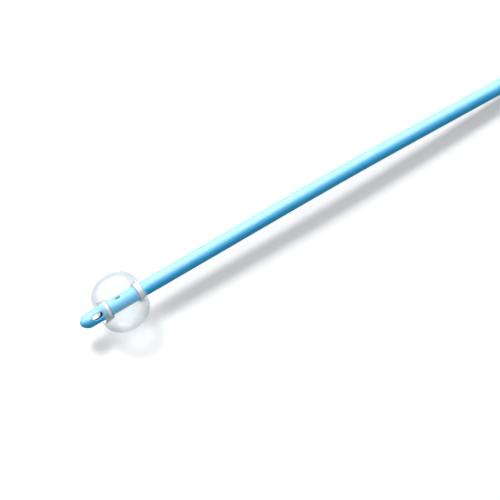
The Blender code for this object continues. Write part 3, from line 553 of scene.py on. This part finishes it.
def tip_half(side):
    """Sheets of the half of the tip round one eye. Each column runs from a border point straight
    towards the eye's centre. The eye is an oval |x/a|^n + |w/b|^n = 1, its lip a quarter round."""
    count = BORDER_COUNT
    t = [np.arange(n) / n for n in count]
    x_share = np.concatenate([np.ones(count[0]), 1 - t[1], np.zeros(count[2]), t[3]])
    turn = (np.concatenate([t[0], np.ones(count[1]), 1 - t[2], np.zeros(count[3])]) - 0.5) * math.pi
    border_x = NOSE_LENGTH + x_share * (TIP_LENGTH - NOSE_LENGTH)
    bore_x = BORE_FRONT + x_share * (TIP_LENGTH - BORE_FRONT)
    dx, dw = border_x - EYE_CENTRE, TUBE_RADIUS * turn
    n = EYE_ROUNDNESS
    reach = ((np.abs(dx) / EYE_HALF_LENGTH) ** n + (np.abs(dw) / EYE_HALF_WIDTH) ** n) ** (-1 / n)
    throat_x, throat_w = dx * reach, dw * reach
    normal = np.stack([
        np.sign(throat_x) * (np.abs(throat_x) / EYE_HALF_LENGTH) ** (n - 1) / EYE_HALF_LENGTH,
        np.sign(throat_w) * (np.abs(throat_w) / EYE_HALF_WIDTH) ** (n - 1) / EYE_HALF_WIDTH,
    ])
    normal /= np.linalg.norm(normal, axis=0)
    lip_x = EYE_CENTRE + throat_x + EYE_LIP * normal[0]
    lip_turn = np.arcsin((throat_w + EYE_LIP * normal[1]) / TUBE_RADIUS)

    def place(x, w, h):
        """Points from their distance behind the nose, sideways from the eye and out towards it."""
        h = side * h
        y = -math.sin(EYE_ANGLE) * w + math.cos(EYE_ANGLE) * h
        z = math.cos(EYE_ANGLE) * w + math.sin(EYE_ANGLE) * h
        return np.stack([NOSE[0] + x, TUBE_Y + y, AXIS_HEIGHT + z], axis=-1)

    share = np.linspace(0.0, 1.0, 15)[:, None]
    share = 1 - (1 - share) ** LIP_CROWDING
    x = border_x + (lip_x - border_x) * share
    theta = turn + (lip_turn - turn) * share
    outer = place(x, TUBE_RADIUS * np.sin(theta), TUBE_RADIUS * np.cos(theta))
    bend = np.linspace(0.0, math.pi / 2, 8)[1:, None]
    out = EYE_LIP * (1 - np.sin(bend))
    w = throat_w + out * normal[1]
    height = np.sqrt(TUBE_RADIUS**2 - w**2) - EYE_LIP * (1 - np.cos(bend))
    lip = place(EYE_CENTRE + throat_x + out * normal[0], w, height)
    bore_turn = np.arcsin(np.clip(throat_w / BORE_RADIUS, -1, 1))
    share = np.linspace(0.0, 1.0, 8)[:, None]
    x = EYE_CENTRE + throat_x + (bore_x - EYE_CENTRE - throat_x) * share
    theta = bore_turn + (turn - bore_turn) * share
    bore = place(x, BORE_RADIUS * np.sin(theta), BORE_RADIUS * np.cos(theta))
    wall = grid(np.concatenate([outer, lip, bore]), round_columns=True)

    rear = np.arange(count[0] + 1)
    end_rows = [place(border_x[rear], radius * np.sin(turn[rear]), radius * np.cos(turn[rear]))
                for radius in (TUBE_RADIUS, BORE_RADIUS)]
    front_turn = turn[count[0] + count[1]:count[0] + count[1] + count[2] + 1]
    share = np.linspace(0.0, 1.0, 15)[:, None]
    x = NOSE_LENGTH * share**2
    radius = TUBE_RADIUS * np.sqrt(1 - (1 - x / NOSE_LENGTH) ** NOSE_FULLNESS)
    x = x + 0 * front_turn
    nose = place(x, radius * np.sin(front_turn), radius * np.cos(front_turn))
    bend = np.linspace(0.0, math.pi / 2, 6)[:, None]
    x = BORE_FRONT - BLIND_DEPTH * np.sin(bend) + 0 * front_turn
    radius = BORE_RADIUS * np.cos(bend)
    blind = place(x, radius * np.sin(front_turn), radius * np.cos(front_turn))
    return [wall, grid(np.stack(end_rows)), grid(nose), grid(blind)]


tip = make_piece("tip_moulding", tip_half(1) + tip_half(-1), blue_silicone,
                 painted_shade_and_dull=painted_shade_depth)
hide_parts("tip")

# %% [markdown]
# ## The balloon
# The balloon is a sleeve of thin clear silicone, glued to the tube by a milky cuff at each end and
# blown up into a fat ring. Its wall folds back over each cuff. A sphere would be wrong: the lobe is
# wider than it is long and dips in at both cuffs. So its section is drawn as cuff, fold and two
# quarter ovals, given a wall, and turned round the tube.

# %% Balloon
BALLOON_CENTRE = 18.0 * MM
BALLOON_RADIUS = 12.0 * MM
BALLOON_WALL = 0.3 * MM
LOBE_RADIUS = 5.2 * MM
FOLD_RADIUS = 0.42 * MM
BALLOON_SIDES = 160
CUFF_GAP = 0.12 * MM
CUFF_MIDDLE = TUBE_RADIUS + CUFF_GAP + BALLOON_WALL / 2
CUFFS = (
    (-1, 5.3 * MM, 1.4 * MM, 9.3 * MM), (1, 7.5 * MM, 2.2 * MM, 9.95 * MM),
)   # side, inner end and length of the cuff, how far the lobe reaches on that side


def oval(centre, radii, start, end, steps):
    """Points of part of an oval, angles in degrees."""
    angle = np.radians(np.linspace(start, end, steps + 1))
    return np.column_stack([centre[0] + radii[0] * np.cos(angle), centre[1] + radii[1] * np.sin(angle)])


def balloon_half(inner, length, reach):
    """Middle line of half the balloon: cuff, half-round fold, oval under the lobe, oval over it."""
    crown = BALLOON_RADIUS - BALLOON_WALL / 2 - LOBE_RADIUS
    longest = reach - BALLOON_WALL / 2
    top = CUFF_MIDDLE + 2 * FOLD_RADIUS
    cuff = np.column_stack([np.linspace(inner + length, inner, 6), np.full(6, CUFF_MIDDLE)])
    fold = oval((inner, CUFF_MIDDLE + FOLD_RADIUS), (FOLD_RADIUS, FOLD_RADIUS), 270, 90, 14)
    under = oval((inner, LOBE_RADIUS), (longest - inner, LOBE_RADIUS - top), -90, 0, 14)
    over = oval((0.0, LOBE_RADIUS), (longest, crown), 0, 90, 40)
    return np.vstack([cuff, fold[1:], under[1:], over[1:]])


def make_balloon():
    """Offset the middle line by half a wall to each side, close the section and turn it."""
    halves = [balloon_half(*sizes) * (side, 1) for side, *sizes in CUFFS]
    middle = np.vstack([halves[0], halves[1][-2::-1]])
    ahead = np.gradient(middle, axis=0)
    ahead /= np.linalg.norm(ahead, axis=1)[:, None]
    out = np.column_stack([-ahead[:, 1], ahead[:, 0]]) * BALLOON_WALL / 2
    return turned(np.vstack([middle + out, (middle - out)[::-1]]), BALLOON_SIDES, ring=True)


balloon_place = Matrix.Translation((NOSE[0] + BALLOON_CENTRE, TUBE_Y, AXIS_HEIGHT))
balloon = make_piece(
    "balloon_membrane", [make_balloon()], clear_silicone, matrix=balloon_place)
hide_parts("balloon")

# %% [markdown]
# ## The milky bonds
# Where the balloon's cuffs are glued on, the glue and the double wall look white. A painted mask
# could whiten the clear wall, but glass with a mask in its transmission is lost in an export, so
# each bond is a thin band of its own with round edges, just over the cuff.

# %% Bonds
BAND_THICKNESS, BAND_GAP, BAND_SIDES = 0.08 * MM, 0.02 * MM, 96
BAND_SETBACK = 0.2 * MM   # between the balloon's fold and the band


def band(start, end, radius):
    """Section of a thin band with a half-round edge at each end, closed and turned."""
    half = BAND_THICKNESS / 2
    front = oval((start + half, radius), (half, half), 270, 90, 6)
    back = oval((end - half, radius), (half, half), 90, -90, 6)
    return turned(np.vstack([front, back]), BAND_SIDES, ring=True)


for side, inner, length, _ in CUFFS:
    ends = sorted((side * (inner + BAND_SETBACK), side * (inner + length)))
    bond_radius = TUBE_RADIUS + CUFF_GAP + BALLOON_WALL + BAND_THICKNESS / 2 + BAND_GAP
    name = "bond_front" if side < 0 else "bond_rear"
    make_piece(name, [band(*ends, bond_radius)], milky_silicone,
               matrix=balloon_place)

# %% [markdown]
# ## The yoke: drainage funnel
# The rear end is moulded in one piece of paler, milkier silicone: a strain relief over the tube, a
# funnel with five grip rings and a bead round its mouth, and a thin arm at 25 degrees. The funnel
# is a line of widths turned round an axis. Its corners are softened, because a mould has no sharp
# inner corners. The whole yoke is rolled a little, so that the valve rests on the table.

# %% Yoke frame and funnel
YOKE_START, FUNNEL_HEIGHT = 344.0 * MM, 8.2 * MM
YOKE_ROLL = math.radians(10.162)
YOKE_LENGTH = 66.0 * MM
SOCKET_DEPTH, SOCKET_RADIUS = 18.0 * MM, 3.12 * MM
OUTER_LINE = np.array([(0.0, 3.75), (14.0, 4.7), (25.0, 5.1), (42.0, 6.9), (62.8, 7.5)]) * MM
BORE_LINE = np.array([(18.0, 1.6), (25.0, 1.9), (43.0, 5.1), (66.0, 5.8)]) * MM
RING_COUNT, RING_START, RING_PITCH = 5, 45.5 * MM, 2.9 * MM
RING_WIDTH, RING_HEIGHT = 1.3 * MM, 0.45 * MM
BEAD_RADIUS, BEAD_LENGTH = 8.2 * MM, 3.2 * MM
BEAD_SLOPE = 0.1 * MM   # a bead's front face leans back by this
FUNNEL_SIDES, ARM_SIDES = 120, 80
yoke_place = (Matrix.Translation((NOSE[0] + YOKE_START, TUBE_Y, FUNNEL_HEIGHT))
              @ Matrix.Rotation(-YOKE_ROLL, 4, "X"))


def outer_wall(x):
    return np.interp(x, OUTER_LINE[:, 0], OUTER_LINE[:, 1])


def bore_wall(x):
    return np.where(x < SOCKET_DEPTH, SOCKET_RADIUS, np.interp(x, BORE_LINE[:, 0], BORE_LINE[:, 1]))


def make_funnel():
    """Section of the funnel's wall: out along the front lip and the rings, round the bead, and back
    in along the bore and the tube's socket. Softened, closed and turned."""
    start = RING_START + np.arange(RING_COUNT)[:, None] * RING_PITCH
    ring_x = start + np.array([0.0, 0.25, 0.75, 1.0]) * RING_WIDTH
    ring_r = outer_wall(ring_x) + np.array([0.0, 1.0, 1.0, 0.0]) * RING_HEIGHT
    rings = np.column_stack([ring_x.reshape(-1), ring_r.reshape(-1)])
    bead = YOKE_LENGTH - BEAD_LENGTH
    lip = 0.5 * (SOCKET_RADIUS + OUTER_LINE[0, 1])
    line = np.vstack([
        [(0.0, lip)], OUTER_LINE[:4], rings, [OUTER_LINE[4]],
        [(bead + BEAD_SLOPE, BEAD_RADIUS), (YOKE_LENGTH, BEAD_RADIUS)],
        BORE_LINE[::-1], [(SOCKET_DEPTH, SOCKET_RADIUS), (0.0, SOCKET_RADIUS), (0.0, lip)],
    ])
    radius = np.concatenate([
        [0.3, 4.0, 4.0, 3.0], np.tile([0.35, 0.25, 0.25, 0.35], RING_COUNT), [0.5, 0.6, 0.7],
        [0.6, 4.0, 2.0, 0.3, 0.2, 0.2],
    ]) * MM
    return turned(softened(line, radius, 6)[:-1], FUNNEL_SIDES, ring=True)


funnel = make_piece("yoke_funnel", [make_funnel()], yoke_silicone,
                    matrix=yoke_place)
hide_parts("y_funnel")

# %% [markdown]
# ## The yoke: inflation arm
# The arm is turned in the same way, round its own axis. Where it starts inside the funnel it would
# close the bore, so every point that lies inside the funnel's wall is pushed sideways to the middle
# of that wall.

# %% Arm
ARM_ANGLE = math.radians(25.0)
ARM_START, ARM_LENGTH = 9.0 * MM, 44.0 * MM
ARM_ROOT_RADIUS, ARM_END_RADIUS = 3.5 * MM, 3.9 * MM
ARM_BEAD_RADIUS, ARM_BEAD_LENGTH = 4.4 * MM, 2.6 * MM
PASSAGE_RADIUS, SEAT_RADIUS, SEAT_DEPTH = 0.8 * MM, 2.62 * MM, 11.3 * MM
ARM_ROW_STEP = 0.7 * MM
arm_in_yoke = (Matrix.Translation((ARM_START, 0, 0)) @ Matrix.Rotation(ARM_ANGLE, 4, "Z")
               @ Matrix.Translation((ARM_LENGTH, 0, 0)))
valve_place = yoke_place @ arm_in_yoke


def resampled(line, step):
    """The same line with more points: its own corners, and even ones about a step apart."""
    along = np.concatenate([[0.0], np.cumsum(np.linalg.norm(np.diff(line, axis=0), axis=1))])
    even = np.linspace(0.0, along[-1], int(along[-1] / step) + 2)
    at = np.unique(np.concatenate([along, even]))
    at = at[np.concatenate([[True], np.diff(at) > step * 0.05])]
    return np.column_stack([np.interp(at, along, line[:, k]) for k in range(line.shape[1])])


def make_arm():
    """Turned section of the arm in its own frame, moved to the yoke's frame, with points inside the
    funnel moved sideways: y = square root of (middle of the wall squared - z squared)."""
    bead = -ARM_BEAD_LENGTH
    line = np.array([
        (-ARM_LENGTH, PASSAGE_RADIUS), (-ARM_LENGTH, ARM_ROOT_RADIUS), (bead, ARM_END_RADIUS),
        (bead + BEAD_SLOPE, ARM_BEAD_RADIUS), (0.0, ARM_BEAD_RADIUS), (0.0, SEAT_RADIUS),
        (-SEAT_DEPTH, SEAT_RADIUS), (-SEAT_DEPTH, PASSAGE_RADIUS), (-ARM_LENGTH, PASSAGE_RADIUS),
    ])
    radius = np.array([0.2, 0.4, 0.5, 0.45, 0.15, 0.1, 0.1]) * MM
    line = resampled(softened(line, radius, 6), ARM_ROW_STEP)
    points, faces = turned(line[:-1], ARM_SIDES, ring=True)
    turn = np.array(arm_in_yoke)
    points = points @ turn[:3, :3].T + turn[:3, 3]
    middle = 0.5 * (bore_wall(points[:, 0]) + outer_wall(points[:, 0]))
    inside = np.hypot(points[:, 1], points[:, 2]) < middle
    pushed = np.sqrt(np.maximum(middle**2 - points[:, 2] ** 2, 0.0))
    points[:, 1] = np.where(inside, pushed, points[:, 1])
    return points, faces


arm = make_piece("yoke_arm", [make_arm()], yoke_silicone, matrix=yoke_place)

# %% [markdown]
# ## The yoke: web between funnel and arm
# A web fills the corner between funnel and arm, and it runs into both with wide soft curves. The
# heights of funnel, arm and a flat slab over the middle plane are three functions. Their smooth
# maximum is one surface that follows whichever is highest and rounds the creases between them.

# %% Web
WEB_THICKNESS, WEB_END, WEB_HOLLOW = 5.4 * MM, 36.0 * MM, 3.0 * MM
WEB_FRONT = 10.4 * MM
WEB_INNER, WEB_OUTER = 2.3 * MM, 0.93   # inner edge inside the wall, outer edge in arm radii
WALL_COVER = 0.3 * MM                   # what the web keeps between itself and the bore
HOLLOW_START, HOLLOW_SPAN = 0.2, 0.55   # where the rear edge is hollow, in shares across
SLAB_FALL, LAST_TENTH = 6.0 * MM, 0.1
BLEND, SINK = 1.6 * MM, 0.02 * MM


def smooth_maximum(a, b, reach):
    """The larger of two, plus a quarter of reach times the square of how nearly they tie."""
    tie = np.maximum(1 - np.abs(a - b) / reach, 0.0)
    return np.maximum(a, b) + 0.25 * reach * tie**2


def arch(radius, away):
    """Height of a round bar over its middle plane. Past its edge it falls below the plane."""
    rest = radius**2 - away**2
    return np.sign(rest) * np.sqrt(np.abs(rest))


def make_web():
    """x runs back to the hollow rear edge, y across from the funnel's wall to the far side of the
    arm, and the height is the smooth maximum. The last tenth rounds off to nothing."""
    u = np.linspace(0.0, 1.0, 70)[:, None]
    v = (0.5 - 0.5 * np.cos(np.linspace(0.0, math.pi, 48)))[None, :]
    across_hollow = np.clip((v - HOLLOW_START) / HOLLOW_SPAN, 0, 1)
    end = WEB_END - WEB_HOLLOW * np.sin(math.pi * across_hollow)
    x = WEB_FRONT + (end - WEB_FRONT) * u
    axis_y = (x - ARM_START) * math.tan(ARM_ANGLE)
    arm_radius = ARM_ROOT_RADIUS + (ARM_END_RADIUS - ARM_ROOT_RADIUS) * (x - ARM_START) / ARM_LENGTH
    reach = arm_radius / math.cos(ARM_ANGLE)
    low = np.maximum(WEB_INNER, np.interp(x, BORE_LINE[:, 0], BORE_LINE[:, 1]) + WALL_COVER)
    high = axis_y + WEB_OUTER * reach
    y = low + (high - low) * v
    slab = WEB_THICKNESS / 2 - SLAB_FALL * (np.maximum(y - axis_y, 0.0) / reach) ** 2
    bars = smooth_maximum(
        arch(outer_wall(x), y), arch(arm_radius, (y - axis_y) * math.cos(ARM_ANGLE)), BLEND)
    height = smooth_maximum(bars, slab, BLEND) - SINK
    last = np.clip((u - 1 + LAST_TENTH) / LAST_TENTH, 0.0, 1.0)
    height = height * np.sqrt(1 - last**2)
    top = np.stack([x, y, height], axis=-1)
    under = np.stack([x, y, -height], axis=-1)
    front = np.stack([top[0], under[0]])
    side_low = np.stack([top[:, 0], under[:, 0]])
    side_high = np.stack([top[:, -1], under[:, -1]])
    return [grid(sheet) for sheet in (top, under, front, side_low, side_high)]


web = make_piece("yoke_web", make_web(), yoke_silicone, matrix=yoke_place)

# %% [markdown]
# ## The inflation valve
# The valve is a red moulding pushed into the arm: a fluted grip, and a socket with two lugs that a
# syringe screws on to. The flutes could be cut with ten Booleans. Here the radius of the turned
# section also depends on the angle, which gives soft even flutes and lugs in one closed skin.

# %% Valve housing
TAIL_LENGTH, TAIL_RADIUS = 11.0 * MM, 2.5 * MM
FLANGE_START, FLANGE_END, FLANGE_RADIUS = 0.3 * MM, 1.9 * MM, 4.5 * MM
GRIP_RADIUS, GRIP_END = 4.2 * MM, 9.8 * MM
COUPLING_RADIUS, COUPLING_END, COUPLING_FLOOR = 3.3 * MM, 14.4 * MM, 7.0 * MM
COUPLING_MOUTH, COUPLING_THROAT = 2.16 * MM, 1.94 * MM
SEAT_FACE, SEAT_HOLE, CHAMBER = 5.8 * MM, 1.05 * MM, 1.75 * MM
FLUTES, FLUTE_DEPTH, FLUTE_HALF = 10, 0.35 * MM, math.radians(10.0)
LUG_RADIUS, LUG_START, LUG_HALF = 3.9 * MM, 13.1 * MM, math.radians(34.0)
FLUTE_ROUNDNESS = 0.8        # below 1 the flute's floor is broader
LUG_SIDE = 0.85              # share of a lug's half angle where its side starts
LUG_SLOPE = 0.25 * MM
FLUTE_FRONT = (0.1 * MM, 0.7 * MM)   # behind the flange, where a flute starts and is full
FLUTE_REAR = 0.1 * MM
HOUSING_SIDES, HOUSING_ROW_STEP = 240, 0.22 * MM


def make_housing():
    """Turned section whose outer radius loses a flute where the angle is near a multiple of a tenth
    of a turn, and gains a lug where it is near half turns and the station is at the mouth."""
    outer = np.array([
        (-TAIL_LENGTH, CHAMBER), (-TAIL_LENGTH, TAIL_RADIUS), (FLANGE_START, TAIL_RADIUS),
        (FLANGE_START, FLANGE_RADIUS), (FLANGE_END, FLANGE_RADIUS), (FLANGE_END, GRIP_RADIUS),
        (GRIP_END, GRIP_RADIUS), (GRIP_END, COUPLING_RADIUS), (COUPLING_END, COUPLING_RADIUS),
        (COUPLING_END, COUPLING_MOUTH), (COUPLING_FLOOR, COUPLING_THROAT),
        (COUPLING_FLOOR, SEAT_HOLE), (SEAT_FACE, SEAT_HOLE), (SEAT_FACE, CHAMBER),
        (-TAIL_LENGTH, CHAMBER),
    ])
    radius = np.array([0.5, 0.1, 0.2, 0.25, 0.1, 0.45, 0.2, 0.2, 0.2, 0.15, 0.1, 0.1, 0.1]) * MM
    line = resampled(softened(outer, radius, 4), HOUSING_ROW_STEP)[:-1]
    angle = np.linspace(0.0, math.tau, HOUSING_SIDES, endpoint=False)
    from_flute = (angle + math.pi / FLUTES) % (math.tau / FLUTES) - math.pi / FLUTES
    flute = FLUTE_DEPTH * np.clip(1 - (from_flute / FLUTE_HALF) ** 2, 0, 1) ** FLUTE_ROUNDNESS
    from_lug = np.abs((angle + math.pi / 2) % math.pi - math.pi / 2)
    lug_share = 1 - smooth_step(from_lug, LUG_SIDE * LUG_HALF, LUG_HALF)
    lug = (LUG_RADIUS - COUPLING_RADIUS) * lug_share
    x, r = line[:, :1], line[:, 1:]
    on_grip, on_coupling = r > 0.9 * GRIP_RADIUS, r > 0.88 * COUPLING_RADIUS   # outer walls only
    in_grip = (smooth_step(x, FLANGE_END + FLUTE_FRONT[0], FLANGE_END + FLUTE_FRONT[1])
               * (1 - smooth_step(x, GRIP_END - FLUTE_REAR, GRIP_END)) * on_grip)
    at_lug = smooth_step(x, LUG_START, LUG_START + LUG_SLOPE) * on_coupling
    r = r - in_grip * flute + at_lug * lug
    x = x + 0 * angle
    return grid(np.stack([x, r * np.cos(angle), r * np.sin(angle)], axis=-1),
                round_rows=True, round_columns=True)


housing = make_piece("valve_shell", [make_housing()], red_plastic,
                     matrix=valve_place)
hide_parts("valve_housing")

# %% [markdown]
# ## The valve's spring
# A small coil spring closes the valve. Its wire is a circle carried along a helix whose first and
# last turns lie flat.

# %% Spring
SPRING_TOP, SPRING_BOTTOM = 3.6 * MM, -3.0 * MM
SPRING_TURNS, SPRING_RADIUS, WIRE_RADIUS = 5.5, 1.15 * MM, 0.14 * MM
SPRING_STEPS, WIRE_SIDES = 330, 10
FLAT_ENDS = 0.081   # how much the ramp holds back at both ends, so that the end turns lie flat


def make_spring():
    """Helix x = height of a smooth ramp, y and z = radius times cosine and sine of the turn. The wire's
    circle stands across the helix: one arm points out, the other along the cross product."""
    share = np.linspace(0.0, 1.0, SPRING_STEPS)
    turn = share * SPRING_TURNS * math.tau
    ramp = share - FLAT_ENDS * np.sin(math.tau * share)
    low, high = SPRING_BOTTOM + WIRE_RADIUS, SPRING_TOP - WIRE_RADIUS
    line = np.column_stack([low + (high - low) * ramp, SPRING_RADIUS * np.cos(turn),
                            SPRING_RADIUS * np.sin(turn)])
    ahead = np.gradient(line, axis=0)
    ahead /= np.linalg.norm(ahead, axis=1)[:, None]
    out = np.column_stack([np.zeros_like(turn), np.cos(turn), np.sin(turn)])
    side = np.cross(ahead, out)
    angle = np.linspace(0.0, math.tau, WIRE_SIDES, endpoint=False)[None, :, None]
    line = np.vstack([line[:1], line, line[-1:]])
    out, side = np.vstack([out[:1], out, out[-1:]]), np.vstack([side[:1], side, side[-1:]])
    wire = np.concatenate([[0.0], np.full(len(line) - 2, WIRE_RADIUS), [0.0]])
    return grid(line[:, None] + wire[:, None, None] * (
        np.cos(angle) * out[:, None] + np.sin(angle) * side[:, None]), round_columns=True)


spring = make_piece("valve_coil", [make_spring()], spring_steel,
                    matrix=valve_place)
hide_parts("valve_spring")
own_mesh(spring)

# %% [markdown]
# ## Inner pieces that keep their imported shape
# The plunger, its rubber seal, the retainer behind the spring and the plug that closes the filling
# lumen are small and mostly hidden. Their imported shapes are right, so they only get a finish.

# %% Finishes for the inner pieces
for node, material in (
    ("valve_plunger", white_plastic), ("valve_seal", grey_rubber),
    ("valve_retainer", white_plastic), ("inflation_lumen_plug", plug_silicone),
):
    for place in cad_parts[node].material_slots:
        place.material = material
    print(node, "finished with", material.name)

# %% [markdown]
# ## The shaft
# The shaft is a soft tube of a known length that leaves the tip, follows its way over the table
# and ends in the yoke.

# %% [markdown]
# ## The table
# The picture has a pure white ground with one soft grey shadow to the lower right. A plain white
# table would light the tube's underside so strongly that it turns pale. So the table shows white to
# the eye, in reflections and through the film, but throws little light back up. Part of its white
# is its own glow, and the lamp's part of it is as deep as the shadow.

# %% Table
FLOOR_DROP = 0.05 * MM
FLOOR_HALF = 4.0
TABLE_ROUGHNESS = 0.9
FLOOR_THROWN = 0.15            # colour of the table for light that it throws on to the catheter
SHADOW_SHARE = 1.0             # its colour for the lamp and the sky where it is seen
FLOOR_SEEN = 1.18              # that colour and the table's own glow together


def seen_directly(tree):
    """One where a ray comes from the camera, a reflection or a see-through wall and has not yet been
    scattered by a matt surface, and zero elsewhere."""
    path = tree.nodes.new("ShaderNodeLightPath").outputs
    seen = worked_out(tree, "MAXIMUM", path["Is Camera Ray"], path["Is Glossy Ray"])
    seen = worked_out(tree, "MAXIMUM", seen, path["Is Transmission Ray"])
    fresh = worked_out(tree, "LESS_THAN", path["Diffuse Depth"], seen)
    return worked_out(tree, "MULTIPLY", seen, fresh)


def between(tree, share, low, high):
    """A value that runs from low to high with the share."""
    ramp = tree.nodes.new("ShaderNodeMapRange")
    ramp.inputs["To Min"].default_value, ramp.inputs["To Max"].default_value = low, high
    tree.links.new(share, ramp.inputs["Value"])
    return ramp.outputs["Result"]


table_material = bpy.data.materials.new("table")
table_material.use_nodes = True
table = table_material.node_tree
table_shader = table.nodes["Principled BSDF"]
table_shader.inputs["Roughness"].default_value = TABLE_ROUGHNESS
table_shader.inputs["Specular IOR Level"].default_value = 0.0
table_shader.inputs["Emission Strength"].default_value = 1.0
seen = seen_directly(table)
tone = between(table, seen, FLOOR_THROWN, SHADOW_SHARE)
table.links.new(tone, table_shader.inputs["Base Color"])
glow = between(table, seen, 0.0, FLOOR_SEEN - SHADOW_SHARE)
table.links.new(glow, table_shader.inputs["Emission Color"])
floor_mesh = bpy.data.meshes.new("floor")
corners = np.array([(-1, -1), (1, -1), (1, 1), (-1, 1)]) * FLOOR_HALF
floor_mesh.from_pydata([(x, y, -FLOOR_DROP) for x, y in corners.tolist()], [], [(0, 1, 2, 3)])
floor_mesh.materials.append(table_material)
floor = bpy.data.objects.new("floor", floor_mesh)
bpy.context.collection.objects.link(floor)
print("floor ready")

# %% [markdown]
# ## The light
# The shadow is soft and lies to the lower right, so the key lamp stands high behind the tube, as
# broad as a window. The tube's lit side is nearly white over its whole length. A brighter key would
# only burn the blue out, so a second, much wider lamp is seen in glossy skins alone and lights no
# matt surface. An even white sky fills the rest.

# %% Light
SKY_THROWN, SKY_SEEN = 0.42, 1.0   # strength for what it lights, and where it is seen
world = bpy.data.worlds.new("studio")
bpy.context.scene.world = world
world.use_nodes = True
sky = world.node_tree.nodes["Background"]
sky.inputs["Color"].default_value = (1, 1, 1, 1)
strength = between(world.node_tree, seen_directly(world.node_tree), SKY_THROWN, SKY_SEEN)
world.node_tree.links.new(strength, sky.inputs["Strength"])
LAMPS = (
    ("key_lamp", 1.6, 16.0, (-0.05, 0.52, 0.85), True),
    ("gloss_window", 67.0, 110.0, (-0.10, 0.63, 0.777), False),
)   # name, strength, spread in degrees, direction towards it, whether matt surfaces are lit by it
for name, lamp_power, spread, direction, lights_matt in LAMPS:
    lamp_data = bpy.data.lights.new(name, "SUN")
    lamp_data.energy, lamp_data.angle = lamp_power, math.radians(spread)
    lamp = bpy.data.objects.new(name, lamp_data)
    bpy.context.collection.objects.link(lamp)
    lamp.visible_diffuse = lamp.visible_transmission = lights_matt
    lamp.rotation_mode = "QUATERNION"
    lamp.rotation_quaternion = Vector(direction).to_track_quat("Z", "Y")
bpy.context.scene.view_settings.view_transform = "Standard"
print("light ready")
